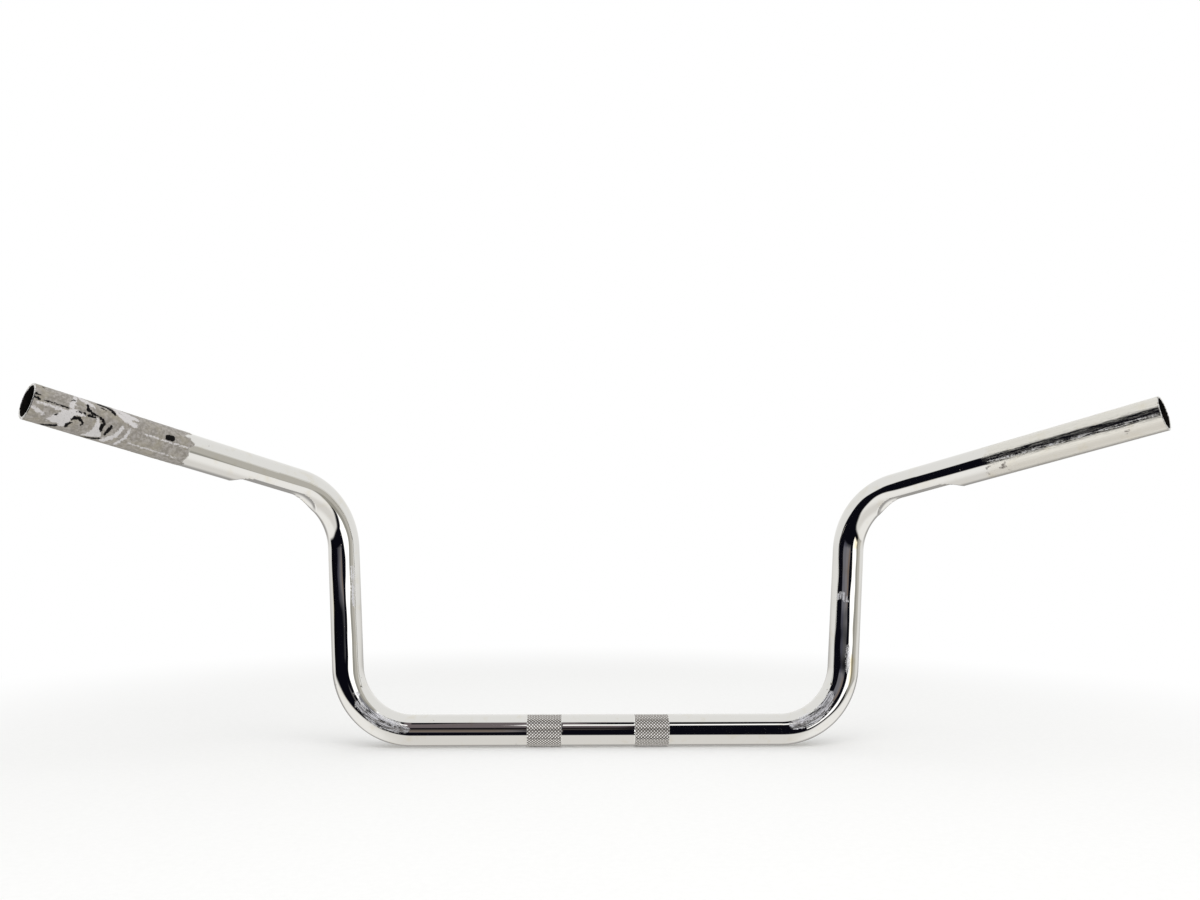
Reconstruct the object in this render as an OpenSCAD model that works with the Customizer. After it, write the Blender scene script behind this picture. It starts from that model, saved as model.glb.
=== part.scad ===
// Motorcycle handlebar bent from one length of chromed steel tube. Millimetres.
// X runs along the clamp section to the rider's right, Y points forward and Z up.
// The origin is on the tube's axis, midway between the two knurled clamp bands.
// The right half is laid out as a tube bender works, straight, bend, straight, turn,
// bend, straight, and the left half is its mirror image.

/* [Tube] */
// Outside diameter of the tube (1 inch)
tube_d = 25.4; // [22:0.1:32]
// Thickness of the tube wall
wall = 2.0; // [1.8:0.1:3]

/* [Bends] */
// Length of the straight clamp section between the two lower bends
clamp_straight = 306; // [220:1:380]
// Radius of every bend, measured to the tube's axis
bend_r = 55; // [50:1:80]
// Outward lean of the risers from upright, in degrees
riser_lean = 3.7; // [0:0.1:15]
// Straight length of each riser between its two bends
riser_length = 99; // [40:1:200]
// How far the grips sweep back from the clamp section, in degrees
pullback = 44; // [20:1:60]
// How far the grips rise towards their ends, in degrees
grip_rise = 13; // [0:1:20]
// Straight length of each grip, from the upper bend to the tube's end
grip_length = 207; // [190:1:260]

/* [Knurled clamp bands] */
// Distance between the middles of the two knurled bands (3.5 inches)
knurl_spacing = 88.9; // [70:0.1:110]
// Length of each knurled band (1.125 inches)
knurl_length = 28.6; // [20:0.1:36]
// Diamonds in one row around the tube
knurl_count = 30; // [20:1:36]
// Depth of the grooves below the tube's surface
knurl_depth = 0.38; // [0.2:0.01:0.5]
// Height of the diamonds' points above the tube's surface
knurl_raise = 0.05; // [0:0.01:0.08]

/* [Wiring dimples] */
// Depth of the dimple under each grip, at its middle
dimple_depth = 7.2; // [4:0.1:7.5]
// Radius of the round-nosed die that presses the dimple
dimple_die_r = 22; // [16:1:28]
// Length of the die between the centres of its two round noses
dimple_die_length = 39; // [20:1:60]
// Turn of the dimple about the grip, forward from the inside of the bend, in degrees
dimple_turn = 5; // [0:1:15]

/* [Open ends] */
// Wall left at the mouth, where the bore is reamed for a bar-end plug
mouth_wall = 1.5; // [1.2:0.1:1.6]
// Depth of the reamed mouth
ream_depth = 25; // [15:1:40]
// Outer edge broken at the end of the tube
edge_break = 0.4; // [0.2:0.1:0.8]

/* [Hidden] */
$fn = 96;
tube_r = tube_d / 2;
bore_r = tube_r - wall;
ream_r = tube_r - mouth_wall;
mouth_break = 0.3;
lap = 0.3;
// A bend draws the tube in by a hair, and each straight laps a little over its bends.
bend_slim = 0.05;
seat = 1;

// The grip's and the riser's directions give the bender's angles.
lower_bend = 90 - riser_lean;
across = cos(grip_rise) * sin(pullback);
inward = sin(riser_lean) * sin(grip_rise)
    - cos(riser_lean) * cos(grip_rise) * cos(pullback);
plane_turn = atan2(across, inward);
upper_bend = acos(sin(riser_lean) * cos(grip_rise) * cos(pullback)
    + cos(riser_lean) * sin(grip_rise));

// The knurl's core stays below the grooves' floors, which are chords of the tube.
knurl_core_r = tube_r - knurl_depth - 0.4;
knurl_inner = (knurl_spacing - knurl_length) / 2;
knurl_outer = (knurl_spacing + knurl_length) / 2;
knurl_cols = 2 * knurl_count;
knurl_rows = 2 * round((knurl_length + 2 * lap) * knurl_count / (PI * tube_d));

dimple_axis = tube_r + dimple_die_r - dimple_depth;
dimple_start = 0.5;

// A round bar along X.
module bar_x(r, length) {
    rotate([0, 90, 0]) cylinder(r = r, h = length);
}

// A bend that starts along X and curves up to Z.
module bend(r, angle) {
    translate([0, 0, bend_r])
        rotate([0, 90, 0])
            rotate([90, 0, 0])
                rotate_extrude(angle = angle)
                    translate([bend_r, 0])
                        circle(r = r);
}

// Carries its children to the far end of a bend.
module past_bend(angle) {
    translate([bend_r * sin(angle), 0, bend_r * (1 - cos(angle))])
        rotate([0, -angle, 0])
            children();
}

module at_riser() {
    translate([clamp_straight / 2, 0, 0])
        past_bend(lower_bend)
            children();
}

module at_upper_bend() {
    at_riser()
        translate([riser_length, 0, 0])
            rotate([plane_turn, 0, 0])
                children();
}

// X then runs out along the grip and Z points to the inside of the upper bend.
module at_grip() {
    at_upper_bend()
        past_bend(upper_bend)
            children();
}

module both_sides() {
    children();
    mirror([1, 0, 0]) children();
}

// Everything past the clamp section on one side, as a solid bar of radius r.
module side_bar(r, extra) {
    translate([clamp_straight / 2, 0, 0]) bend(r - bend_slim, lower_bend);
    at_riser() translate([-seat, 0, 0]) bar_x(r, riser_length + 2 * seat);
    at_upper_bend() bend(r - bend_slim, upper_bend);
    at_grip() translate([-seat, 0, 0]) bar_x(r, grip_length + seat + extra);
}

// The clamp section's plain lands, either side of the bands and between them.
module clamp_lands() {
    translate([-knurl_inner, 0, 0]) bar_x(tube_r, 2 * knurl_inner);
    both_sides()
        translate([knurl_outer, 0, 0])
            bar_x(tube_r, clamp_straight / 2 - knurl_outer + seat);
    translate([-knurl_outer - 1, 0, 0]) bar_x(knurl_core_r, 2 * knurl_outer + 2);
}

// Rows of points on the rolled diamonds: high at their middles, low in the grooves.
function knurl_r(i, j) =
    i > 0 && i < knurl_rows && (i + j) % 2 == 0
        ? tube_r + knurl_raise
        : tube_r - knurl_depth;

function knurl_point(i, j) =
    let (a = 360 * j / knurl_cols, r = knurl_r(i, j))
    [-lap + i * (knurl_length + 2 * lap) / knurl_rows, r * cos(a), r * sin(a)];

function knurl_at(i, j) = i * knurl_cols + j % knurl_cols;

// Each square of four points is split along its groove.
function knurl_cell(i, j) =
    (i + j) % 2 == 0
        ? [[knurl_at(i, j), knurl_at(i + 1, j), knurl_at(i, j + 1)],
           [knurl_at(i + 1, j), knurl_at(i + 1, j + 1), knurl_at(i, j + 1)]]
        : [[knurl_at(i, j), knurl_at(i + 1, j), knurl_at(i + 1, j + 1)],
           [knurl_at(i, j), knurl_at(i + 1, j + 1), knurl_at(i, j + 1)]];

// One band of diamond knurling, from X = 0.
module knurl_band() {
    points = [for (i = [0:knurl_rows], j = [0:knurl_cols - 1]) knurl_point(i, j)];
    near_end = [[for (j = [0:knurl_cols - 1]) knurl_at(0, j)]];
    far_end = [[for (j = [0:knurl_cols - 1]) knurl_at(knurl_rows, knurl_cols - 1 - j)]];
    sides = [
        for (i = [0:knurl_rows - 1], j = [0:knurl_cols - 1])
            each knurl_cell(i, j)
    ];
    polyhedron(points = points, faces = concat(near_end, sides, far_end));
}

// The round-nosed die that presses the dimple, grown by the wall for the tube's inside.
module dimple_die(grow) {
    r = dimple_die_r + grow;
    at_grip()
        rotate([dimple_turn, 0, 0])
            translate([dimple_start, 0, dimple_axis])
                rotate([0, 90, 0]) {
                    sphere(r = r);
                    cylinder(r = r, h = dimple_die_length);
                    translate([0, 0, dimple_die_length]) sphere(r = r);
                }
}

module outer_bar() {
    difference() {
        union() {
            clamp_lands();
            both_sides() side_bar(tube_r, 0);
        }
        both_sides() dimple_die(0);
    }
}

module inner_bar() {
    difference() {
        union() {
            translate([-clamp_straight / 2 - seat, 0, 0])
                bar_x(bore_r, clamp_straight + 2 * seat);
            both_sides() side_bar(bore_r, 1);
        }
        both_sides() dimple_die(wall);
    }
}

// The reamed mouth, with a cone where it meets the bore and a broken inner edge.
module mouth() {
    at_grip()
        translate([grip_length, 0, 0])
            rotate([0, 90, 0]) {
                translate([0, 0, -ream_depth]) cylinder(r = ream_r, h = ream_depth + 1);
                translate([0, 0, -ream_depth - (ream_r - bore_r)])
                    cylinder(r1 = bore_r, r2 = ream_r, h = ream_r - bore_r);
                translate([0, 0, -mouth_break])
                    cylinder(r1 = ream_r, r2 = ream_r + 2 * mouth_break, h = 2 * mouth_break);
            }
}

// What is taken off the outer edge of the tube's end.
module outer_edge() {
    at_grip()
        translate([grip_length, 0, 0])
            rotate([0, 90, 0])
                difference() {
                    translate([0, 0, -edge_break])
                        cylinder(r = tube_r + 2, h = edge_break + 1);
                    translate([0, 0, -edge_break])
                        cylinder(r1 = tube_r, r2 = tube_r - edge_break, h = edge_break);
                    translate([0, 0, -0.5])
                        cylinder(r = tube_r - edge_break, h = 2);
                }
}

module handlebar() {
    color([0.80, 0.81, 0.82])
        difference() {
            union() {
                outer_bar();
                both_sides() translate([knurl_inner, 0, 0]) knurl_band();
            }
            inner_bar();
            both_sides() mouth();
            both_sides() outer_edge();
        }
}

handlebar();
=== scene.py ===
import math

import bpy
import numpy as np
from mathutils import Matrix, Vector, noise


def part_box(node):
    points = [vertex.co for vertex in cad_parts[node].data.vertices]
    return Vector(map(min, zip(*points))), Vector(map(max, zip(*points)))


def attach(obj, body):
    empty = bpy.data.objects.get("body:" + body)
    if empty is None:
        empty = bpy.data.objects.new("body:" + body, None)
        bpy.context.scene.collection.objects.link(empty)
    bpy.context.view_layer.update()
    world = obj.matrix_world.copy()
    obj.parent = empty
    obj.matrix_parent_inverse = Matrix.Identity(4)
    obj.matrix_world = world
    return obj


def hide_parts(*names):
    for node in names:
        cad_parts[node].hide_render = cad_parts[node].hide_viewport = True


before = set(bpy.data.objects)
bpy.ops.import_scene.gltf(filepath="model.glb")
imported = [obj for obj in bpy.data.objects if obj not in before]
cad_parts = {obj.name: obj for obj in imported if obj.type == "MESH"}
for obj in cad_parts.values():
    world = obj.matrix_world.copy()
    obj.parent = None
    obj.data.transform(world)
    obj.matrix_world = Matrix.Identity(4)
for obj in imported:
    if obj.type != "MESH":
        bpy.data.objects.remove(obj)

bl_info = {
    "name": "Chromed motorcycle handlebar",
    "version": (1, 0, 0),
    "blender": (4, 5, 0),
    "location": "3D View > Sidebar > Handlebar",
    "description": "Builds a bent, knurled and dimpled handlebar tube with its chrome and its wear",
    "category": "Object",
}

MM = 0.001
TUBE_PLACE = "unbent"
# The room that the chrome mirrors is tilted about the bar's length, as the bar stands in it.
ROOM_LEAN = math.radians(13.7)
# What lights matt surfaces from every side.
AMBIENT = 0.8
# The skin has finer rings from this far before the start of a grip to this far along it.
DIMPLE_BEFORE, DIMPLE_AFTER = 32 * MM, 64 * MM
# How many times the skin samples each diamond of the knurl, along and around.
DIAMOND_SAMPLES = 6
# How far inside a mark a point is, in mm, has this value wherever the mark is far away.
OUTSIDE = -6.0
# The finish of each kind of ring, in the order of the bar's materials. A face between two kinds
# takes the later finish.
FINISH_OF = {"outer": 0, "knurl": 0, "rim": 1, "bore": 2}


def linear(hex_colour):
    """Turns an sRGB hex colour into the linear colour that a shader socket takes."""
    parts = [int(hex_colour[i : i + 2], 16) / 255 for i in (1, 3, 5)]
    return [p / 12.92 if p <= 0.04045 else ((p + 0.055) / 1.055) ** 2.4 for p in parts] + [1.0]


def length(name, description, default_mm):
    """A property for a length that is written in millimetres and kept in metres."""
    return bpy.props.FloatProperty(
        name=name,
        description=description,
        default=default_mm * MM,
        min=0.0,
        precision=5,
        unit="LENGTH",
    )


def angle(name, description, default_degrees):
    """A property for an angle that is written in degrees."""
    return bpy.props.FloatProperty(
        name=name, description=description, default=math.radians(default_degrees), unit="ROTATION"
    )


def colour(name, description, default_hex):
    """A property for a colour that is written as sRGB hex."""
    return bpy.props.FloatVectorProperty(
        name=name,
        description=description,
        default=linear(default_hex),
        size=4,
        min=0.0,
        max=1.0,
        subtype="COLOR",
    )


class TubeSizes(bpy.types.PropertyGroup):
    """The tube and the way it is bent, as in the part's source."""

    radius: length("Tube radius", "Outside radius of the tube", 12.7)
    wall: length("Wall", "Thickness of the tube wall", 2.0)
    clamp_straight: length("Clamp section", "Straight length between the two lower bends", 306)
    bend_radius: length("Bend radius", "Radius of every bend, to the tube's axis", 55)
    riser_lean: angle("Riser lean", "Outward lean of the risers from upright", 3.7)
    riser_length: length("Riser length", "Straight length of each riser", 99)
    pullback: angle("Pullback", "How far the grips sweep back", 44)
    grip_rise: angle("Grip rise", "How far the grips rise towards their ends", 13)
    grip_length: length("Grip length", "Straight length of each grip", 207)


class KnurlSizes(bpy.types.PropertyGroup):
    """The two rolled bands that the handlebar clamps bite on."""

    spacing: length("Band spacing", "Distance between the middles of the bands", 88.9)
    length: length("Band length", "Length of each band", 28.6)
    depth: length("Groove depth", "Depth of the grooves below the tube's surface", 0.38)
    raised: length("Point height", "Height of the diamonds' points above the surface", 0.05)
    count: bpy.props.IntProperty(
        name="Diamonds around", description="Diamonds in one row around the tube", default=30, min=8
    )


class DimpleSizes(bpy.types.PropertyGroup):
    """The wiring dimple pressed under each grip."""

    depth: length("Dimple depth", "Depth of the dimple at its middle", 7.2)
    die_radius: length("Die radius", "Radius of the round-nosed die", 22)
    die_length: length("Die length", "Length between the centres of the die's noses", 39)
    start: length("Die start", "Where the die's first nose stands along the grip", 0.5)
    turn: angle("Dimple turn", "Turn of the dimple about the grip", 5)
    soft_lip: length("Soft lip", "How widely the pressed edge is rounded over", 2.4)


class MouthSizes(bpy.types.PropertyGroup):
    """The open, reamed ends of the tube."""

    wall: length("Mouth wall", "Wall left where the bore is reamed", 1.5)
    depth: length("Ream depth", "Depth of the reamed mouth", 25)
    edge: length("Broken edge", "Outer edge broken at the tube's end", 0.4)


class WearSizes(bpy.types.PropertyGroup):
    """Where the old grips sat, and what they left."""

    film_length: length("Glue film length", "Length of old grip glue on the left grip", 109)
    film_thickness: length("Glue film thickness", "Thickness of the glue film", 0.22)
    scuff_length: length("Scuffed length", "Length of scuffed chrome on the right grip", 126)


class FinishColours(bpy.types.PropertyGroup):
    """The colours of the handlebar's surfaces."""

    chrome: colour("Chrome", "Bright chromium plate", "#D8D7D4")
    chrome_tint: colour("Yellowed chrome", "Chrome with the nickel showing through", "#C9BD9C")
    knurl: colour("Rolled points", "Points of the knurl, polished by the clamps", "#FBFBF8")
    rubbed: colour("Rubbed chrome", "Haze of fine rubs in the chrome", "#DCDCE2")
    rust: colour("Rust", "Rust in the chrome's pits", "#4A3A30")
    film: colour("Glue film", "Dull grey film of old glue", "#ACA7A2")
    film_dark: colour("Dark glue film", "Thicker and dirtier glue", "#8C8780")
    film_olive: colour("Yellowed glue film", "Glue that has yellowed", "#A19A88")
    film_pale: colour("Pale glue", "Whitish dried glue", "#D3D0D0")
    # Near-black painted shadow along the edges of the glue's flakes, drawn as raised strokes.
    painted_flake_shadow: colour("Rubber scraps", "Black scraps of the old rubber grip", "#0F0E0F")
    # Near-black: partly the bare steel's own dark tone, partly painted shade of the tube's deep
    # inside.
    bore: colour("Bare steel bore", "Unplated steel inside the tube", "#100E0D")


def settings(group):
    """The property group of that name on the scene."""
    return getattr(bpy.context.scene, "handlebar_" + group)


def tube_steps():
    """What the bender does on one side: straights, and bends with the turn before each."""
    t = settings("tube")
    lean, back, rise = t.riser_lean, t.pullback, t.grip_rise
    across = math.cos(rise) * math.sin(back)
    inward = math.sin(lean) * math.sin(rise) - math.cos(lean) * math.cos(rise) * math.cos(back)
    upper = math.acos(
        math.sin(lean) * math.cos(rise) * math.cos(back) + math.cos(lean) * math.sin(rise)
    )
    return [
        ("straight", t.clamp_straight / 2, 0.0),
        ("bend", math.pi / 2 - lean, 0.0),
        ("straight", t.riser_length, 0.0),
        ("bend", upper, math.atan2(across, inward)),
        ("straight", t.grip_length, 0.0),
    ]


def step_ends():
    """Distances along the tube, from the bar's middle, at which the bender's steps end."""
    ends, run = [], 0.0
    for kind, amount, _ in tube_steps():
        run += amount if kind == "straight" else amount * settings("tube").bend_radius
        ends.append(run)
    return ends


def place_on_tube(distance):
    """Centre and axes of the tube at a distance from the bar's middle, on the rider's right."""
    bend_radius = settings("tube").bend_radius
    at, axes, left = Vector((0.0, 0.0, 0.0)), Matrix.Identity(3), distance
    for kind, amount, turn in tube_steps():
        if left <= 0:
            break
        if kind == "straight":
            part = min(left, amount)
            at = at + axes.col[0] * part
            left -= part
            continue
        part = min(left, amount * bend_radius)
        turned = axes @ Matrix.Rotation(turn, 3, "X")
        pivot = at + turned.col[2] * bend_radius
        bent = turned @ Matrix.Rotation(-part / bend_radius, 3, "Y")
        at = pivot - bent.col[2] * bend_radius
        axes = bent @ Matrix.Rotation(-turn, 3, "X")
        left -= part
    return at, axes


def die_line():
    """The two ends of the dimple die's axis, on the rider's right."""
    d, t = settings("dimple"), settings("tube")
    at, axes = place_on_tube(step_ends()[3])
    turn = tube_steps()[3][2] + d.turn
    axes = axes @ Matrix.Rotation(turn, 3, "X")
    height = t.radius + d.die_radius - d.depth
    first = at + axes @ Vector((d.start, 0.0, height))
    return np.array(first), np.array(first + axes.col[0] * d.die_length)


def distance_to_line(points, first, last):
    """How far points are from a line segment."""
    along = last - first
    share = np.clip(((points - first) @ along) / (along @ along), 0, 1)
    return np.linalg.norm(points - first - share[:, None] * along, axis=1)


def pressed_radius(at, rays, radius, die_radius, soft):
    """The tube's radius along rays from its axis, where the die may have pressed it in."""
    first, last = die_line()
    centre, reach = np.array(at), radius + soft
    if distance_to_line(centre[None], first, last)[0] > die_radius + reach:
        return np.full(len(rays), radius)
    # The first sample of a ray that the die reaches, and then halvings of the step before it.
    steps = np.linspace(0.2, 1.0, 60) * reach
    points = centre + (rays[:, None] * steps[:, None]).reshape(-1, 3)
    inside = (distance_to_line(points, first, last) < die_radius).reshape(len(rays), -1)
    reached, hit = inside.any(axis=1), steps[inside.argmax(axis=1)]
    clear = hit - (steps[1] - steps[0])
    for _ in range(12):
        middle = (clear + hit) / 2
        inside = distance_to_line(centre + rays * middle[:, None], first, last) < die_radius
        clear, hit = np.where(inside, clear, middle), np.where(inside, middle, hit)
    # The smaller of the two radii, with the edge between them rounded over.
    pressed = np.where(reached, hit, radius + 2 * soft)
    blend = np.clip(0.5 + 0.5 * (pressed - radius) / soft, 0, 1)
    return pressed * (1 - blend) + radius * blend - soft * blend * (1 - blend) / 2


def spread(start, end, step):
    """Evenly spread distances from start to just before end, no further apart than step."""
    count = max(1, math.ceil(abs(end - start) / step - 1e-6))
    return list(np.linspace(start, end, count, endpoint=False))


def outer_distances(left):
    """Distances of the outer rings from the end of the knurl to the mouth, on one side."""
    k, w, e = settings("knurl"), settings("wear"), step_ends()
    knurl_end = (k.spacing + k.length) / 2
    dimple_from, dimple_to = e[3] - DIMPLE_BEFORE, e[3] + DIMPLE_AFTER
    edge = e[4] - settings("mouth").edge
    # Rings are closer in the bends, and closest at the dimple and under the glue film.
    at = spread(knurl_end, e[0], 14 * MM) + spread(e[0], e[1], 2.2 * MM)
    at += spread(e[1], e[2], 4 * MM) + spread(e[2], dimple_from, 2.2 * MM)
    at += spread(dimple_from, dimple_to, 0.9 * MM)
    if left:
        film_from = e[4] - w.film_length - 14 * MM
        at += spread(dimple_to, film_from, 6 * MM) + spread(film_from, edge, 0.95 * MM)
    else:
        at += spread(dimple_to, edge - 2 * MM, 2.5 * MM) + [edge - 2 * MM]
    return at + [edge]


def bore_distances():
    """Distances of the bore's rings from the bar's middle to the mouth, on one side."""
    m, t, e = settings("mouth"), settings("tube"), step_ends()
    dimple_from, dimple_to = e[3] - DIMPLE_BEFORE, e[3] + DIMPLE_AFTER
    at = spread(0.0, e[0], 80 * MM) + spread(e[0], e[1], 3 * MM) + spread(e[1], e[2], 40 * MM)
    at += spread(e[2], dimple_from, 3 * MM) + spread(dimple_from, dimple_to, 2.4 * MM)
    return at + spread(dimple_to, e[4] - m.depth - (t.wall - m.wall), 20 * MM)


def triangle_wave(t):
    """0 at whole numbers and 1 half way between them."""
    return 1 - np.abs(2 * (t - np.floor(t)) - 1)


def knurl_rings():
    """Rings of one rolled band, from its inner to its outer edge: (distance, radii)."""
    k, t = settings("knurl"), settings("tube")
    pitch = 2 * math.pi * t.radius / k.count
    start, end = (k.spacing - k.length) / 2, (k.spacing + k.length) / 2
    around = np.arange(DIAMOND_SAMPLES * k.count) / DIAMOND_SAMPLES
    rings = []
    for i in range(1, round(DIAMOND_SAMPLES * (end - start) / pitch)):
        along = i / DIAMOND_SAMPLES
        height = np.minimum(triangle_wave(along + around), triangle_wave(along - around))
        top = t.radius + k.raised
        rings.append((start + along * pitch, top - (k.depth + k.raised) * (1 - height)))
    return rings


def marks_of_wear():
    """Strokes of what the old grips and clamps left on the bar, and of painted shadow along the glue
    flakes' edges, for each kind.

    A stroke is (side, points), where side is 1 for the rider's right and -1 for the left, and a
    point is (mm along the tube from the bar's middle, degrees around it, half width in mm).
    """
    return {
        "pale": [
            (-1, [(587, 60, 1.0), (587.5, 95, 1.2), (589, 120, 2.0)]),
            (-1, [(580, 139, 0.8), (586, 138, 2.4), (591, 158, 4.2), (597, 178, 3), (600, 186, 1)]),
            (-1, [(590, 170, 3.0), (591, 190, 2.0)]),
            (-1, [(571, 138, 0.8), (570, 160, 1.8), (569, 180, 3.2), (575, 208, 1.0)]),
            (-1, [(566, 188, 1.5), (573, 200, 2.0)]),
            (-1, [(545, 98, 1.5), (551, 95, 2.5), (559, 75, 3.0)]),
            (-1, [(546, 122, 1.8), (554, 110, 2.0), (559, 95, 1.5)]),
            (-1, [(549, 140, 0.8), (550, 170, 1.0), (553.5, 205, 0.9)]),
            (-1, [(554, 140, 0.9), (556, 170, 1.4), (562, 205, 2.0)]),
            (-1, [(508, 186, 0.7), (523, 185, 0.5), (546, 184, 0.4)]),
            (-1, [(505, 141, 0.4), (538, 140, 0.5)]),
            (-1, [(575, 100, 1.3), (582, 85, 2.4), (585, 70, 1.5)]),
            (-1, [(593, 143, 1.0), (611, 141, 0.8)]),
            (-1, [(605, 170, 1.2), (612, 160, 1.0)]),
            (-1, [(563, -10, 2.5), (571, 5, 3.0)]),
            (-1, [(588, -60, 3.0), (595, -75, 2.0)]),
            (-1, [(603, 20, 2.0), (609, 40, 2.5)]),
            (-1, [(578, 30, 1.5), (585, 45, 2.5)]),
            (-1, [(543, -40, 1.5), (553, -60, 2.0)]),
        ],
        # Painted shadow: black strokes along the edges of the glue's flakes, on the film.
        "painted_flake_shadow": [
            (-1, [(518.9, 126, 2.3), (521.6, 127, 2.2)]),
            (-1, [(560.5, 104, 0.9), (563, 90, 1.6), (567, 80, 1.6), (571.5, 79, 1.2)]),
            (-1, [(567, 98, 0.6), (569.5, 96, 0.7)]),
            (-1, [(567.3, 137, 0.9), (569.5, 133, 0.9)]),
            (-1, [(571, 129, 0.6), (575, 125, 0.8), (578.5, 118, 1.2), (579.2, 102, 0.7)]),
            (-1, [(573.3, 135, 0.8), (577.8, 136, 0.8)]),
            (-1, [(580, 133, 0.7), (581.4, 134, 0.6)]),
            (-1, [(583, 134, 0.6), (585, 134, 0.6)]),
            (-1, [(561, 147, 0.9), (562, 160, 1.3), (563, 178, 0.8)]),
            (-1, [(566.3, 144, 0.9), (567, 157, 1.4), (566.5, 170, 0.8)]),
            (-1, [(579.8, 160, 0.8), (582.5, 153, 1.2), (585.3, 155, 1.2), (586.4, 163, 0.8)]),
            (-1, [(579, 164, 0.7), (580, 172, 0.8)]),
            (-1, [(586, 171, 0.7), (587.8, 180, 1.1), (588, 193, 0.8)]),
            (-1, [(564.5, 199, 1.0), (567, 209, 1.2), (572, 217, 1.1), (575, 222, 0.8)]),
            (-1, [(593.5, 199, 1.1), (596.5, 209, 1.5), (600.5, 219, 1.4)]),
            (-1, [(609.5, 120, 0.7), (612.3, 117, 0.9)]),
            (-1, [(609.3, 132, 0.8), (612.3, 129, 0.8)]),
            (-1, [(607.4, 84, 0.6), (608, 80, 0.6)]),
            (-1, [(591, 132, 0.55), (607, 130, 0.5)]),
            (-1, [(588, 100, 0.7), (590, 104, 0.6)]),
            (-1, [(596, 158, 0.6), (597, 163, 0.6)]),
            (-1, [(563, 20, 1.0), (569, 10, 1.4), (573, 18, 0.8)]),
            (-1, [(583, -30, 0.8), (589, -22, 1.3), (593, -34, 0.7)]),
            (-1, [(599, 40, 0.9), (604, 32, 1.2)]),
            (-1, [(551, -60, 1.0), (556, -72, 1.3)]),
            (-1, [(575, -70, 0.9), (581, -84, 1.1)]),
            (-1, [(606, -40, 0.7), (611, -50, 0.9)]),
            (-1, [(533, 10, 0.8), (537, 4, 1.1)]),
        ],
        "rub": [
            (1, [(163, 158, 3.5), (175, 156, 5.0), (190, 157, 5.0), (203, 152, 4.0), (211, 146, 2)]),
            (1, [(210.5, 122, 0.9), (211, 130, 0.7)]),
            (1, [(234, 182, 1.6), (245, 180, 2.0), (256, 178, 1.2)]),
            (1, [(293, 126, 1.6), (297, 146, 2.6), (292, 166, 1.8)]),
            (-1, [(157, 168, 2.5), (165, 163, 4.4), (178, 163, 4.6), (192, 168, 4.4), (205, 170, 3)]),
            (-1, [(211, 148, 1.0), (214, 166, 1.2)]),
            (1, [(490, 145, 0.55), (530, 145, 0.6), (610, 145, 0.5)]),
            (-1, [(286, 138, 1.4), (318, 138, 1.8)]),
        ],
        "dirt": [
            (1, [(487.3, 163, 0.5), (486.5, 180, 0.7), (487.5, 193, 0.5)]),
            (1, [(499.6, 168, 0.8), (499, 178, 1.3)]),
            (1, [(497, 178, 0.7), (501.8, 178, 0.7)]),
            (1, [(502.6, 159, 0.5), (502.9, 167, 0.6)]),
            (1, [(502.8, 196, 0.6), (504, 206, 0.6)]),
            (1, [(489.7, 162, 0.5), (491, 160, 0.5)]),
            (1, [(587.6, 172, 0.5), (591, 170, 0.5)]),
            (1, [(589, 180, 0.4), (590, 181, 0.4)]),
            (-1, [(487, 166, 0.5), (488, 178, 0.6)]),
            (1, [(212, 124, 0.5), (212.5, 126, 0.5)]),
            (1, [(238, 163, 0.5), (238.5, 164, 0.5)]),
        ],
        "tint": [
            (1, [(224, 196, 1.2), (246, 196, 1.6)]),
            (1, [(338, 192, 1.4), (350, 188, 1.2)]),
            (-1, [(232, -150, 1.0), (300, -146, 1.2), (338, -150, 1.0)]),
        ],
    }


MARKS = marks_of_wear()


def inside_strokes(kind, side, distance, around):
    """How far inside the nearest stroke of a kind each point of a ring is, in mm."""
    best, at = np.full(len(around), OUTSIDE), distance / MM
    round_mm = settings("tube").radius / MM * math.pi / 180
    for mark_side, path in MARKS[kind]:
        reach = max(p[2] for p in path) - OUTSIDE
        if mark_side != side:
            continue
        for (s0, a0, r0), (s1, a1, r1) in zip(path, path[1:]):
            if not min(s0, s1) - reach < at < max(s0, s1) + reach:
                continue
            gap = ((np.degrees(around) - a0 + 180) % 360 - 180) * round_mm
            along, across = s1 - s0, (a1 - a0) * round_mm
            share = np.clip(((at - s0) * along + gap * across) / (along**2 + across**2), 0, 1)
            off = np.hypot(at - s0 - share * along, gap - share * across)
            best = np.maximum(best, r0 + share * (r1 - r0) - off)
    return best


def glue_fields(distance, around, unbent):
    """How far inside the glue film, its pale patches and the painted shadow along its flakes' edges a
    ring's points are.
    """
    w, end = settings("wear"), step_ends()[4]
    # How far the film's torn end runs on or falls short, in mm.
    ragged = [
        noise.noise(Vector(p) / (9 * MM)) * 5 + noise.noise(Vector(p) / (3.2 * MM)) * 2.5
        for p in unbent
    ]
    film = np.clip(w.film_length / MM + np.array(ragged) - (end - distance) / MM, OUTSIDE, 12)
    pale = inside_strokes("pale", -1, distance, around)
    painted_flake_shadow = inside_strokes("painted_flake_shadow", -1, distance, around)
    return np.column_stack((film, pale, painted_flake_shadow))


def rim_nicks(left, around):
    """Depth of the nicks knocked into the tube's outer end edge, at each angle around it."""
    nicks = [(168, 5, 0.3), (190, 4, 0.22), (-118, 7, 0.26), (40, 6, 0.2), (-60, 5, 0.24)]
    if not left:
        nicks = [(150, 5, 0.26), (176, 4, 0.3), (-155, 6, 0.22), (20, 5, 0.24), (-80, 7, 0.2)]
    depth = np.zeros(len(around))
    for degrees, half_width, deep in nicks:
        gap = (np.degrees(around) - degrees + 180) % 360 - 180
        depth = np.maximum(depth, deep * MM * np.clip(1 - np.abs(gap) / half_width, 0, 1))
    return depth


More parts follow.
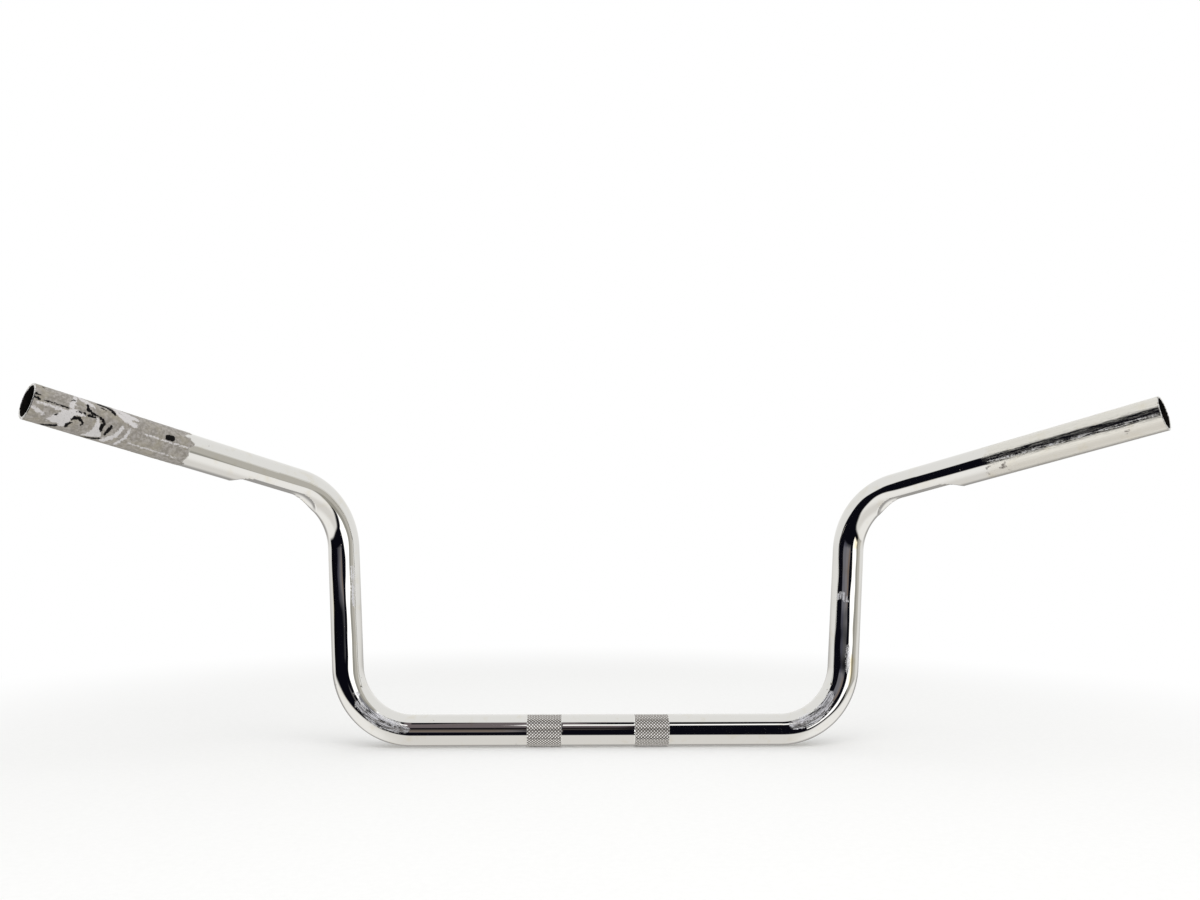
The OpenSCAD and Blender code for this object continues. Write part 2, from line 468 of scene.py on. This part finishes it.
class Rings:
    """The rings of points that make the bar's closed skin, in the order they are joined."""

    def __init__(self):
        self.points, self.places, self.faces = [], [], []
        self.glue, self.worn, self.finishes, self.rings = [], [], [], []

    def add(self, distance, radii, count, left, kind):
        """One ring around the tube. Radii is a number, or one for each point."""
        at, axes = place_on_tube(distance)
        around = 2 * math.pi * np.arange(count) / count
        radii = np.broadcast_to(radii, count)
        spokes = np.outer(np.cos(around), np.array(axes.col[1]))
        spokes += np.outer(np.sin(around), np.array(axes.col[2]))
        side = -1 if left else 1
        first = len(self.points)
        unbent = np.column_stack(
            (np.full(count, side * distance), radii * np.cos(around), radii * np.sin(around))
        )
        glue, worn = np.full((count, 3), OUTSIDE), np.full((count, 3), OUTSIDE)
        if kind == "outer":
            for i, name in enumerate(("rub", "dirt", "tint")):
                worn[:, i] = inside_strokes(name, side, distance, around)
            if left:
                glue = glue_fields(distance, around, unbent)
                radii = radii + glue_height(glue, unbent)
        points = np.array(at) + radii[:, None] * spokes
        points[:, 0] *= side
        self.points += points.tolist()
        self.places += unbent.tolist()
        self.glue += glue.tolist()
        self.worn += worn.tolist()
        self.rings.append((first, count, kind))

    def join(self):
        """Joins each ring to the next, and the last to the first."""
        for (a, n, kind_a), (b, m, kind_b) in zip(self.rings, self.rings[1:] + self.rings[:1]):
            finish = max(FINISH_OF[kind_a], FINISH_OF[kind_b])
            if n == m:
                made = self.band(a, b, n, kind_a == kind_b == "knurl")
            elif m == 2 * n:
                made = [
                    (a + j, a + (j + 1) % n, b + (2 * j + 2) % m, b + 2 * j + 1, b + 2 * j)
                    for j in range(n)
                ]
            else:
                made = [
                    (a + 2 * j, a + 2 * j + 1, a + (2 * j + 2) % n, b + (j + 1) % m, b + j)
                    for j in range(m)
                ]
            self.faces += made
            self.finishes += [finish] * len(made)

    def band(self, a, b, n, folded):
        """The faces between two rings of n points; on the knurl, split along the grooves."""
        made = []
        for j in range(n):
            k = (j + 1) % n
            if not folded:
                made.append((a + j, a + k, b + k, b + j))
                continue
            along = abs(self.depth(a + j) - self.depth(b + k))
            if along < abs(self.depth(a + k) - self.depth(b + j)):
                made += [(a + j, a + k, b + k), (a + j, b + k, b + j)]
            else:
                made += [(a + j, a + k, b + j), (a + k, b + k, b + j)]
        return made

    def depth(self, i):
        """How far a point of the unbent tube is from the tube's axis."""
        return math.hypot(self.places[i][1], self.places[i][2])


def glue_height(glue, unbent):
    """Thickness of the glue film, its pale patches and the raised strokes of painted flake shadow, at
    each point of a ring.
    """
    thick = settings("wear").film_thickness
    lumpy = np.array([0.7 + 0.45 * noise.noise(Vector(p) / (2.4 * MM)) for p in unbent])
    film, pale, painted_flake_shadow = glue.T
    height = thick * np.clip(film / 1.2, 0, 1) * lumpy
    height += 0.1 * MM * np.clip(pale / 0.6, 0, 1) + 0.2 * MM * np.clip(painted_flake_shadow / 0.6, 0, 1)
    return np.where(film > 0, height, 0.0)


def bar_mesh():
    """The whole tube as one closed skin: outside, rims, reamed mouths and bore."""
    t, k, d, m = (settings(g) for g in ("tube", "knurl", "dimple", "mouth"))
    end = step_ends()[4]
    bore, reamed = t.radius - t.wall, t.radius - m.wall
    rings = Rings()

    def pressed(distance, radius, die_radius, count):
        at, axes = place_on_tube(distance)
        around = 2 * math.pi * np.arange(count) / count
        rays = np.outer(np.cos(around), np.array(axes.col[1]))
        rays += np.outer(np.sin(around), np.array(axes.col[2]))
        return pressed_radius(at, rays, radius, die_radius, d.soft_lip)

    coarse = DIAMOND_SAMPLES // 2 * k.count
    inner_edge, outer_edge = (k.spacing - k.length) / 2, (k.spacing + k.length) / 2

    def side_rings(left):
        made = [(x, t.radius, coarse, "outer") for x in (inner_edge - 1 * MM, inner_edge)]
        made += [(x, r, 2 * coarse, "knurl") for x, r in knurl_rings()]
        made += [(outer_edge, t.radius, coarse, "outer")]
        nicks = rim_nicks(left, 2 * math.pi * np.arange(coarse) / coarse)
        for x in outer_distances(left)[1:]:
            made.append((x, pressed(x, t.radius, d.die_radius, coarse), coarse, "outer"))
        made += [
            (end - 0.3 * m.edge, t.radius - 0.7 * m.edge - nicks, coarse, "rim"),
            (end, t.radius - m.edge - nicks, coarse, "rim"),
            (end, reamed + 0.3 * MM, coarse, "rim"),
            (end - 0.3 * MM, reamed, coarse, "rim"),
        ]
        return made

    def bore_rings():
        made = [(x, pressed(x, bore, d.die_radius + t.wall, coarse)) for x in bore_distances()]
        made += [(end - m.depth - (reamed - bore), bore), (end - m.depth, reamed)]
        made += [(end - 0.6 * m.depth, reamed), (end - 0.2 * m.depth, reamed)]
        return [(x, r, coarse, "bore") for x, r in made]

    for x, r, n, kind in reversed(side_rings(True)):
        rings.add(x, r, n, True, kind)
    rings.add(0.0, t.radius, coarse, False, "outer")
    for x, r, n, kind in side_rings(False):
        rings.add(x, r, n, False, kind)
    for x, r, n, kind in reversed(bore_rings()):
        rings.add(x, r, n, False, kind)
    for x, r, n, kind in bore_rings()[1:]:
        rings.add(x, r, n, True, kind)
    rings.join()
    mesh = bpy.data.meshes.new("bar")
    mesh.from_pydata(rings.points, [], rings.faces)
    for name, values in ((TUBE_PLACE, rings.places), ("glue", rings.glue), ("worn", rings.worn)):
        made = mesh.attributes.new(name, "FLOAT_VECTOR", "POINT")
        made.data.foreach_set("vector", np.array(values, np.float32).ravel())
    mesh.polygons.foreach_set("material_index", rings.finishes)
    mesh.polygons.foreach_set("use_smooth", [True] * len(mesh.polygons))
    mesh.set_sharp_from_angle(angle=math.radians(32))
    mesh.validate()
    mesh.update()
    return mesh


def node(tree, kind, inputs=None, **choices):
    """Adds a node, makes its choices, and sets or links its inputs by name or number."""
    made = tree.nodes.new(kind)
    for name, value in choices.items():
        setattr(made, name, value)
    usable = [s for s in made.inputs if not s.is_unavailable]
    for key, value in (inputs or {}).items():
        socket = usable[key] if isinstance(key, int) else next(s for s in usable if s.name == key)
        if isinstance(value, bpy.types.Node):
            value = next(s for s in value.outputs if not s.is_unavailable)
        if isinstance(value, bpy.types.NodeSocket):
            tree.links.new(value, socket)
        else:
            socket.default_value = value
    return made


def new_material(name):
    """An empty node material, its tree and its output."""
    made = bpy.data.materials.new(name)
    made.use_nodes = True
    made.node_tree.nodes.clear()
    return made, made.node_tree, node(made.node_tree, "ShaderNodeOutputMaterial")


def per_mm(size):
    """The texture scale at which one cell of a pattern is that many millimetres wide."""
    return 1 / (size * MM)


class HANDLEBAR_OT_make_bar(bpy.types.Operator):
    """Makes the bent tube, with its knurled bands, dimples and open mouths, and its finishes"""

    bl_idname = "handlebar.make_bar"
    bl_label = "Make the bar"

    def execute(self, context):
        mesh = bar_mesh()
        for finish in (chromed_steel(), plated_rim(), bore_steel_and_painted_shade()):
            mesh.materials.append(finish)
        bar = bpy.data.objects.new("bar", mesh)
        context.scene.collection.objects.link(bar)
        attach(bar, "root")
        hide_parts("handlebar")
        return {"FINISHED"}


def chromed_steel():
    """Bright chromium over a polished steel tube: a hard mirror, with what the old grips left."""
    # The plating is a clean mirror, wavy where the bender's dies pressed it, with a few rusty
    # pits and hazy rubs. On the right the throttle grip has scuffed it, and on the left a dull
    # film of dried glue covers it, with painted shadow along its flakes' edges as raised black
    # strokes, and specks of painted shade near its end.
    finish, tree, output = new_material("chromed_steel")
    hues, wear, tube, ends = settings("finish"), settings("wear"), settings("tube"), step_ends()
    place = node(tree, "ShaderNodeAttribute", attribute_name=TUBE_PLACE).outputs["Vector"]
    along = node(tree, "ShaderNodeSeparateXYZ", {0: place}).outputs["X"]
    from_middle = node(tree, "ShaderNodeMath", {0: along}, operation="ABSOLUTE")
    glue = node(tree, "ShaderNodeAttribute", attribute_name="glue").outputs["Vector"]
    glue = node(tree, "ShaderNodeSeparateXYZ", {0: glue})
    worn = node(tree, "ShaderNodeAttribute", attribute_name="worn").outputs["Vector"]
    worn = node(tree, "ShaderNodeSeparateXYZ", {0: worn})

    # Noises in mm: torn edges, smears, flakes, streaks 13 mm long, fine dirt and specks of painted
    # shade, and the dies' waves.
    # The streaks are much wider than the scratches of a real rub, so that they show.
    drawn = node(tree, "ShaderNodeVectorMath", {0: place, 1: (1 / 14, 1, 1)}, operation="MULTIPLY")
    eased = node(tree, "ShaderNodeVectorMath", {0: place, 1: (1 / 3, 1, 1)}, operation="MULTIPLY")
    grains = []
    for at, size, detail, roughness in (
        (place, 2.2, 6.0, 0.65),
        (place, 9, 4.0, 0.55),
        (place, 1.5, 4.0, 0.6),
        (drawn, 0.9, 4.0, 0.65),
        (place, 0.55, 3.0, 0.7),
        (eased, 14, 1.0, 0.6),
    ):
        look = {"Vector": at, "Scale": per_mm(size), "Detail": detail, "Roughness": roughness}
        grains.append(node(tree, "ShaderNodeTexNoise", look))
    torn, smear, flakes, streaks, fine, waves = grains

    # The marks: each is a field in mm whose edge noise moves in and out, by its reach.
    marks = []
    for field, ragged, reach, soft in (
        (glue.outputs["X"], torn, 2.4, 0.35),
        (glue.outputs["Y"], flakes, 2.3, 0.25),
        (glue.outputs["Z"], flakes, 1.5, 0.12),
        (worn.outputs["X"], torn, 2.2, 0.5),
        (worn.outputs["Y"], flakes, 1.1, 0.4),
        (worn.outputs["Z"], smear, 1.0, 1.2),
    ):
        moved = node(tree, "ShaderNodeMath", {0: ragged, 1: 2 * reach, 2: field},
                     operation="MULTIPLY_ADD")
        ends_at = {"Value": moved, "From Min": reach - soft, "From Max": reach + soft}
        marks.append(node(tree, "ShaderNodeMapRange", ends_at))
    film, pale, painted_flake_shadow, rub, dirt, tint = marks

    # The scuffed stretch starts at a ragged line around the tube.
    scuffed = node(tree, "ShaderNodeMath", {0: smear, 1: 18 * MM, 2: along},
                   operation="MULTIPLY_ADD")
    start = ends[4] - wear.scuff_length + 9 * MM

    # Pits of rust up to 0.5 mm wide, in one cell of about twenty.
    pit_cells = node(tree, "ShaderNodeTexVoronoi", {"Vector": place, "Scale": per_mm(4.5)})
    pit_pick = node(tree, "ShaderNodeSeparateColor", {0: pit_cells.outputs["Color"]})

    # How far out of the grooves a point is, and how far from the middle of a band.
    knurl = settings("knurl")
    spoke = node(tree, "ShaderNodeVectorMath", {0: place, 1: (0, 1, 1)}, operation="MULTIPLY")
    spoke = node(tree, "ShaderNodeVectorMath", {0: spoke}, operation="LENGTH").outputs["Value"]
    off_band = node(tree, "ShaderNodeMath", {0: from_middle, 1: knurl.spacing / 2},
                    operation="SUBTRACT")
    off_band = node(tree, "ShaderNodeMath", {0: off_band}, operation="ABSOLUTE")
    banded = node(tree, "ShaderNodeMath", {0: off_band, 1: knurl.length / 2},
                  operation="LESS_THAN")

    # Each line takes one value from a range to another range.
    spans = []
    for value, low, high, to_low, to_high in (
        (scuffed, start - 1.5 * MM, start + 3 * MM, 0.0, 1.0),
        (streaks, 0.46, 0.62, 0.0, 1.0),
        (streaks, 0.42, 0.58, 0.0, 1.0),
        (worn.outputs["X"], 1.6, 4.2, 0.0, 1.0),
        (torn, 0.44, 0.6, 0.0, 1.0),
        (pit_pick.outputs["Red"], 0.95, 1.0, 0.0, 0.11),
        (spoke, tube.radius - 0.1 * MM, tube.radius - 0.26 * MM, 0.0, 1.0),
        (smear, 0.55, 0.8, 0.0, 0.3),
        (smear, 0.48, 0.64, 0.0, 0.5),
        (streaks, 0.52, 0.7, 0.0, 0.5),
        (fine, 0.58, 0.72, 0.0, 0.45),
        # Specks of painted shade near the film's end, for the shadows at the edges of its flakes.
        (fine, 0.62, 0.66, 0.0, 0.8),
        (from_middle, ends[4] - 62 * MM, ends[4] - 52 * MM, 0.0, 1.0),
        (smear, 0.45, 0.8, 0.03, 0.07),
        (streaks, 0.35, 0.7, 0.05, 0.2),
        (from_middle, ends[0], ends[0] + 20 * MM, 0.0, 0.9),
        (from_middle, ends[3] + 25 * MM, ends[3] - 5 * MM, 0.12, 1.0),
    ):
        span = {"Value": value, "From Min": low, "From Max": high, "To Min": to_low,
                "To Max": to_high}
        spans.append(node(tree, "ShaderNodeMapRange", span))
    (scuffed, cuts, thin_rub, rub_core, rough_film, pit_size, groove, yellowing, olive, drawn_film,
     fine_film, painted_shade_specks, outer_end, bright, scuff_rough, past_clamp, before_grip) = spans

    # Products of two layers each.
    joint = []
    for a, b in ((pale, film), (painted_flake_shadow, film), (rub, thin_rub), (rub_core, rough_film),
                 (scuffed, cuts), (groove, banded), (painted_shade_specks, outer_end), (past_clamp, before_grip),
                 (torn, film), (fine, film)):
        joint.append(node(tree, "ShaderNodeMath", {0: a, 1: b}, operation="MULTIPLY"))
    (pale, painted_flake_shadow, thin_rub, rub_core, scuff_cuts, groove, painted_shade_specks, wavy, torn_film,
     fine_relief) = joint
    rub = node(tree, "ShaderNodeMath", {0: thin_rub, 1: rub_core}, operation="MAXIMUM")
    pits = node(tree, "ShaderNodeMath", {0: pit_cells.outputs["Distance"], 1: pit_size},
                operation="LESS_THAN")

    # Colour: the plating and what marks it, then the film, what is stuck to it, the painted shadow
    # along its flakes' edges and specks of painted shade.
    coats = []
    for under, layers in (
        (hues.chrome, ((yellowing, 1.0, hues.chrome_tint), (scuffed, 0.16, hues.chrome_tint),
                       (tint, 0.85, hues.chrome_tint),
                       # The knurl's grooves take the rust's colour, more of it the deeper they go, so
                       # they darken towards their bottoms.
                       (banded, 1.0, hues.knurl), (groove, 0.9, hues.rust),
                       (pits, 1.0, hues.rust), (rub, 1.0, hues.rubbed), (dirt, 0.8, hues.rust))),
        (hues.film_dark, ((rough_film, 1.0, hues.film), (olive, 1.0, hues.film_olive),
                          (drawn_film, 1.0, hues.film_dark), (fine_film, 1.0, hues.film_dark),
                          # Rust-coloured specks of painted shade near the film's end.
                          (pale, 0.85, hues.film_pale), (painted_shade_specks, 1.0, hues.rust),
                          # Near-black painted shadow along the glue flakes' edges.
                          (painted_flake_shadow, 1.0, hues.painted_flake_shadow))),
    ):
        coat = list(under)
        for layer, strength, hue in layers:
            share = node(tree, "ShaderNodeMath", {0: layer, 1: strength}, operation="MULTIPLY")
            coat = node(tree, "ShaderNodeMix", {"Factor": share, "A": coat, "B": list(hue)},
                        data_type="RGBA")
        coats.append(coat)
    paint = node(tree, "ShaderNodeMix", {"Factor": film, "A": coats[0], "B": coats[1]},
                 data_type="RGBA")

    # Roughness: mirror, scuffed and rubbed chrome, knurl and film, then glue, painted flake shadow
    # and dirt.
    coated = pale
    for layer in (painted_flake_shadow, pits, dirt):
        coated = node(tree, "ShaderNodeMath", {0: coated, 1: layer}, operation="MAXIMUM")
    rough = bright
    for layer, value in ((scuffed, scuff_rough), (rub, 0.34), (banded, 0.16), (film, 0.5),
                         (coated, 0.7)):
        rough = node(tree, "ShaderNodeMix", {"Factor": layer, "A": rough, "B": value})

    # Glue and dirt hide the metal, and a haze of rubs scatters part of the light. The painted
    # flake shadow stays mostly metal in its look, because a near-black metal has no pale shine.
    hazy = coated
    for layer, strength in ((rub, 0.65), (scuff_cuts, 0.1), (film, 0.7), (banded, 0.35)):
        layer = node(tree, "ShaderNodeMath", {0: layer, 1: strength}, operation="MULTIPLY")
        hazy = node(tree, "ShaderNodeMath", {0: hazy, 1: layer}, operation="MAXIMUM")
    metal = node(tree, "ShaderNodeMath", {0: 1.0, 1: hazy}, operation="SUBTRACT")
    painted_shadow_metal = node(tree, "ShaderNodeMath", {0: painted_flake_shadow, 1: 0.8}, operation="MULTIPLY")
    metal = node(tree, "ShaderNodeMath", {0: metal, 1: painted_shadow_metal}, operation="MAXIMUM")

    # Heights in mm. The dies' waves are 42 mm long, and fade out on the clamp and the grips.
    height = node(tree, "ShaderNodeMath", {0: waves, 1: wavy}, operation="MULTIPLY")
    for layer, depth in ((scuff_cuts, 0.03), (torn_film, 0.25), (fine_relief, 0.06), (pale, 0.06),
                         (painted_flake_shadow, 0.12), (thin_rub, 0.03), (pits, -0.05)):
        height = node(tree, "ShaderNodeMath", {0: layer, 1: depth, 2: height},
                      operation="MULTIPLY_ADD")
    bump = node(tree, "ShaderNodeBump", {"Strength": 1.0, "Distance": MM, "Height": height})
    surface = node(tree, "ShaderNodeBsdfPrincipled",
                   {"Base Color": paint, "Metallic": metal, "Roughness": rough, "Normal": bump})
    tree.links.new(surface.outputs[0], output.inputs["Surface"])
    return finish


def plated_rim():
    """The sawn and deburred end of the tube, plated with the rest and nicked since."""
    # It shines more softly than the drawn tube, and its nicks are dull and brown.
    finish, tree, output = new_material("plated_rim")
    hues = settings("finish")
    place = node(tree, "ShaderNodeAttribute", attribute_name=TUBE_PLACE).outputs["Vector"]
    nicks = node(tree, "ShaderNodeTexNoise",
                 {"Vector": place, "Scale": per_mm(1.4), "Detail": 4.0, "Roughness": 0.6})
    nicked = node(tree, "ShaderNodeMapRange",
                  {"Value": nicks, "From Min": 0.52, "From Max": 0.62})
    paint = node(tree, "ShaderNodeMix",
                 {"Factor": nicked, "A": list(hues.chrome), "B": list(hues.rust)},
                 data_type="RGBA")
    rough = node(tree, "ShaderNodeMapRange", {"Value": nicked, "To Min": 0.22, "To Max": 0.6})
    bump = node(tree, "ShaderNodeBump", {"Strength": 1.0, "Distance": 0.2 * MM, "Height": nicks})
    surface = node(tree, "ShaderNodeBsdfPrincipled",
                   {"Base Color": paint, "Metallic": 1.0, "Roughness": rough, "Normal": bump})
    tree.links.new(surface.outputs[0], output.inputs["Surface"])
    return finish


def bore_steel_and_painted_shade():
    """Drawn steel that the plating doesn't reach, with blooms of rust: dark and dull, its near-black
    partly the steel's own tone and partly painted shade of the tube's deep inside.
    """
    finish, tree, output = new_material("bore_steel_and_painted_shade")
    hues = settings("finish")
    place = node(tree, "ShaderNodeAttribute", attribute_name=TUBE_PLACE).outputs["Vector"]
    blooms = node(tree, "ShaderNodeTexNoise",
                  {"Vector": place, "Scale": per_mm(5), "Detail": 5.0, "Roughness": 0.6})
    rusty = node(tree, "ShaderNodeMapRange",
                 {"Value": blooms, "From Min": 0.5, "From Max": 0.75, "To Max": 0.14})
    # The near-black is partly painted shade of the deep inside of the tube.
    paint = node(tree, "ShaderNodeMix",
                 {"Factor": rusty, "A": list(hues.bore), "B": list(hues.rust)}, data_type="RGBA")
    bump = node(tree, "ShaderNodeBump", {"Strength": 1.0, "Distance": 0.12 * MM, "Height": blooms})
    # The low specular level keeps the pale room out of the bore.
    surface = node(tree, "ShaderNodeBsdfPrincipled",
                   {"Base Color": paint, "Roughness": 0.9, "Specular IOR Level": 0.12,
                    "Normal": bump})
    tree.links.new(surface.outputs[0], output.inputs["Surface"])
    return finish


def room_panels():
    """What the chrome mirrors of the room in front, from back to front.

    Each panel is (lowest and highest bearing, lowest and highest height, colour). Bearings turn
    from straight back, towards the rider, to the rider's right, and both are in degrees.
    """
    white = (1.7, 1.7, 1.7, 1.0)
    return [
        ((-20, 6), (42, 82), (0.2, 0.17, 0.18, 1.0)),
        ((-50, -28), (8, 46), (0.09, 0.09, 0.12, 1.0)),
        ((-50, -28), (11, 46), (0.2, 0.2, 0.23, 1.0)),
        ((-28, -2), (8.5, 24), (0.1, 0.1, 0.11, 1.0)),
        ((-28, -2), (11, 24), (0.24, 0.23, 0.25, 1.0)),
        ((-11, -3), (12, 24), (0.24, 0.19, 0.16, 1.0)),
        ((-20, 4), (25, 33), (0.07, 0.06, 0.055, 1.0)),
        ((26, 50), (24, 60), (0.25, 0.25, 0.28, 1.0)),
        ((45, 150), (-24, 66), (0.42, 0.41, 0.37, 1.0)),
        ((62, 150), (-24, 66), (0.62, 0.6, 0.55, 1.0)),
        ((82, 160), (-30, 70), (0.95, 0.94, 0.9, 1.0)),
        ((-3, 75), (55, 63), white),
        ((16, 47), (-6, 27), white),
    ]


def room_world():
    """A room that only the bar mirrors, mostly pale, with a dark side in front of the bar."""
    # The camera sees plain white in every direction.
    world = bpy.data.worlds.new("room")
    world.use_nodes = True
    tree = world.node_tree
    tree.nodes.clear()
    way = node(tree, "ShaderNodeTexCoord").outputs["Generated"]
    way = node(tree, "ShaderNodeVectorRotate", {"Vector": way, "Angle": -ROOM_LEAN},
               rotation_type="X_AXIS")
    x, y, z = node(tree, "ShaderNodeSeparateXYZ", {0: way}).outputs
    uneven = node(tree, "ShaderNodeTexNoise", {"Vector": way, "Scale": 5.0, "Detail": 3.0})
    uneven = node(tree, "ShaderNodeMath", {0: uneven, 1: 0.5}, operation="SUBTRACT")

    front = node(tree, "ShaderNodeMath", {0: z, 1: 0.12, 2: y}, operation="MULTIPLY_ADD")
    back = node(tree, "ShaderNodeMath", {0: y, 1: -1.0}, operation="MULTIPLY")
    bearing = node(tree, "ShaderNodeMath", {0: x, 1: back}, operation="ARCTAN2")
    bearing = node(tree, "ShaderNodeMath", {0: uneven, 1: 0.1, 2: bearing},
                   operation="MULTIPLY_ADD")
    height = node(tree, "ShaderNodeMath", {0: uneven, 1: 0.03, 2: z}, operation="MULTIPLY_ADD")
    sideways = node(tree, "ShaderNodeMath", {0: x}, operation="ABSOLUTE")

    # The pale half, then the dark half in front, and the panels in it. Each lies where all of
    # its edges are 1: an edge goes smoothly from 0 at its first value to 1 at its second.
    soft = 0.025
    dark = node(tree, "ShaderNodeMapRange", {"Value": front, "From Min": 0.0, "From Max": -0.07},
                interpolation_type="SMOOTHSTEP")
    raised = node(tree, "ShaderNodeMapRange", {"Value": z, "From Min": -0.3, "From Max": -0.2},
                  interpolation_type="SMOOTHSTEP")
    dark = node(tree, "ShaderNodeMath", {0: dark, 1: raised}, operation="MULTIPLY")
    layers = [
        (1.0, [(z, -0.5, 0.1)], (1.04, 1.04, 1.03, 1.0)),
        (1.0, [(sideways, 0.15, 0.6), (z, -0.1, -0.4)], (1.16, 1.15, 1.13, 1.0)),
        (1.0, [(y, 0.1, 0.55), (z, -0.12, -0.4)], (0.42, 0.41, 0.4, 1.0)),
        (dark, [], (0.004, 0.004, 0.008, 1.0)),
    ]
    for (left, right), (low, high), tone in room_panels():
        left, right = math.radians(left), math.radians(right)
        low, high = math.sin(math.radians(low)), math.sin(math.radians(high))
        edges = [(bearing, left - soft, left + soft), (bearing, right + soft, right - soft)]
        edges += [(height, low - soft, low + soft), (height, high + soft, high - soft)]
        layers.append((dark, edges, tone))
    room = (0.93, 0.91, 0.88, 1.0)
    for share, edges, tone in layers:
        for value, start, end in edges:
            edge = node(tree, "ShaderNodeMapRange",
                        {"Value": value, "From Min": start, "From Max": end},
                        interpolation_type="SMOOTHSTEP")
            share = node(tree, "ShaderNodeMath", {0: share, 1: edge}, operation="MULTIPLY")
        room = node(tree, "ShaderNodeMix", {"Factor": share, "A": room, "B": tone},
                    data_type="RGBA")
    ray = node(tree, "ShaderNodeLightPath")
    room = node(tree, "ShaderNodeMix",
                {"Factor": ray.outputs["Is Camera Ray"], "A": room, "B": (1.0, 1.0, 1.0, 1.0)},
                data_type="RGBA")
    shown = node(tree, "ShaderNodeMath",
                 {0: ray.outputs["Is Camera Ray"], 1: ray.outputs["Is Glossy Ray"]},
                 operation="ADD")
    shown = node(tree, "ShaderNodeMath", {0: shown, 1: ray.outputs["Is Transmission Ray"]},
                 operation="ADD", use_clamp=True)
    plain = (AMBIENT, AMBIENT, AMBIENT, 1.0)
    seen = node(tree, "ShaderNodeMix", {"Factor": shown, "A": plain, "B": room},
                data_type="RGBA")
    light = node(tree, "ShaderNodeBackground", {"Color": seen, "Strength": 1.0})
    node(tree, "ShaderNodeOutputWorld", {"Surface": light})
    return world


def pale_floor():
    """Matt white paper: it takes the bar's soft shadow, and runs out to white far from it."""
    finish, tree, output = new_material("pale_floor")
    place = node(tree, "ShaderNodeTexCoord").outputs["Object"]
    # The paper's tooth is drawn far coarser than it is, at 4 mm, so that it shows.
    tooth = node(tree, "ShaderNodeTexNoise", {"Vector": place, "Scale": per_mm(4), "Detail": 3.0})
    paint = node(tree, "ShaderNodeMix",
                 {"Factor": tooth, "A": linear("#F8F8F7"), "B": linear("#FDFDFC")},
                 data_type="RGBA")
    paper = node(tree, "ShaderNodeBsdfDiffuse", {"Color": paint})
    away = node(tree, "ShaderNodeVectorMath", {0: place}, operation="LENGTH").outputs["Value"]
    away = node(tree, "ShaderNodeMapRange", {"Value": away, "From Min": 0.42, "From Max": 0.85},
                interpolation_type="SMOOTHSTEP")
    seen = node(tree, "ShaderNodeLightPath").outputs["Is Camera Ray"]
    away = node(tree, "ShaderNodeMath", {0: away, 1: seen}, operation="MULTIPLY")
    white = node(tree, "ShaderNodeEmission", {"Color": (1.0, 1.0, 1.0, 1.0), "Strength": 1.0})
    surface = node(tree, "ShaderNodeMixShader", {0: away, 1: paper, 2: white})
    tree.links.new(surface.outputs[0], output.inputs["Surface"])
    return finish


class HANDLEBAR_OT_make_stage(bpy.types.Operator):
    """Makes the pale floor, the soft lights and the camera"""

    bl_idname = "handlebar.make_stage"
    bl_label = "Make the stage"

    def execute(self, context):
        scene = context.scene
        mesh = bpy.data.meshes.new("floor")
        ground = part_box("handlebar")[0].z
        corners = [(-3, -3), (3, -3), (3, 3), (-3, 3)]
        mesh.from_pydata([(x, y, ground) for x, y in corners], [], [(0, 1, 2, 3)])
        floor = bpy.data.objects.new("floor", mesh)
        scene.collection.objects.link(floor)
        mesh.materials.append(pale_floor())
        floor.visible_glossy = False
        scene.world = room_world()
        lamp = bpy.data.objects.new("soft_lamp", bpy.data.lights.new("soft_lamp", "AREA"))
        lamp.data.shape = "RECTANGLE"
        lamp.data.size, lamp.data.size_y = 1.8, 1.2
        lamp.data.energy = 9
        lamp.location = (0.15, -0.9, 1.5)
        lamp.rotation_euler = lamp.location.to_track_quat("Z", "Y").to_euler()
        lamp.visible_glossy = False
        scene.collection.objects.link(lamp)
        camera = bpy.data.objects.new("camera", bpy.data.cameras.new("camera"))
        camera.data.sensor_width = 36
        camera.data.lens = 29.25
        camera.data.clip_start = 0.01
        camera.location = (-0.03439, -0.83151, 0.15317)
        camera.rotation_euler = [math.radians(a) for a in (95.588, -0.2742, -2.4442)]
        scene.collection.objects.link(camera)
        scene.camera = camera
        scene.view_settings.view_transform = "Standard"
        return {"FINISHED"}


class HANDLEBAR_PT_panel(bpy.types.Panel):
    """Lists the handlebar's sizes and colours, and the buttons that make the bar and the stage"""

    bl_idname = "HANDLEBAR_PT_panel"
    bl_label = "Handlebar"
    bl_space_type = "VIEW_3D"
    bl_region_type = "UI"
    bl_category = "Handlebar"

    def draw(self, context):
        for group in GROUPS:
            box = self.layout.box()
            box.label(text=group.capitalize())
            for name in GROUPS[group].__annotations__:
                box.prop(settings(group), name)
        for operator in OPERATORS:
            self.layout.operator(operator.bl_idname)


GROUPS = {
    "tube": TubeSizes,
    "knurl": KnurlSizes,
    "dimple": DimpleSizes,
    "mouth": MouthSizes,
    "wear": WearSizes,
    "finish": FinishColours,
}
OPERATORS = (HANDLEBAR_OT_make_bar, HANDLEBAR_OT_make_stage)


def register():
    for group in GROUPS:
        bpy.utils.register_class(GROUPS[group])
        pointer = bpy.props.PointerProperty(type=GROUPS[group])
        setattr(bpy.types.Scene, "handlebar_" + group, pointer)
    for operator in (*OPERATORS, HANDLEBAR_PT_panel):
        bpy.utils.register_class(operator)


def unregister():
    for operator in (HANDLEBAR_PT_panel, *reversed(OPERATORS)):
        bpy.utils.unregister_class(operator)
    for group in reversed(GROUPS):
        delattr(bpy.types.Scene, "handlebar_" + group)
        bpy.utils.unregister_class(GROUPS[group])


def main():
    register()
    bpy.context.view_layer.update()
    bpy.ops.handlebar.make_bar()
    bpy.ops.handlebar.make_stage()


if __name__ == "__main__":
    main()
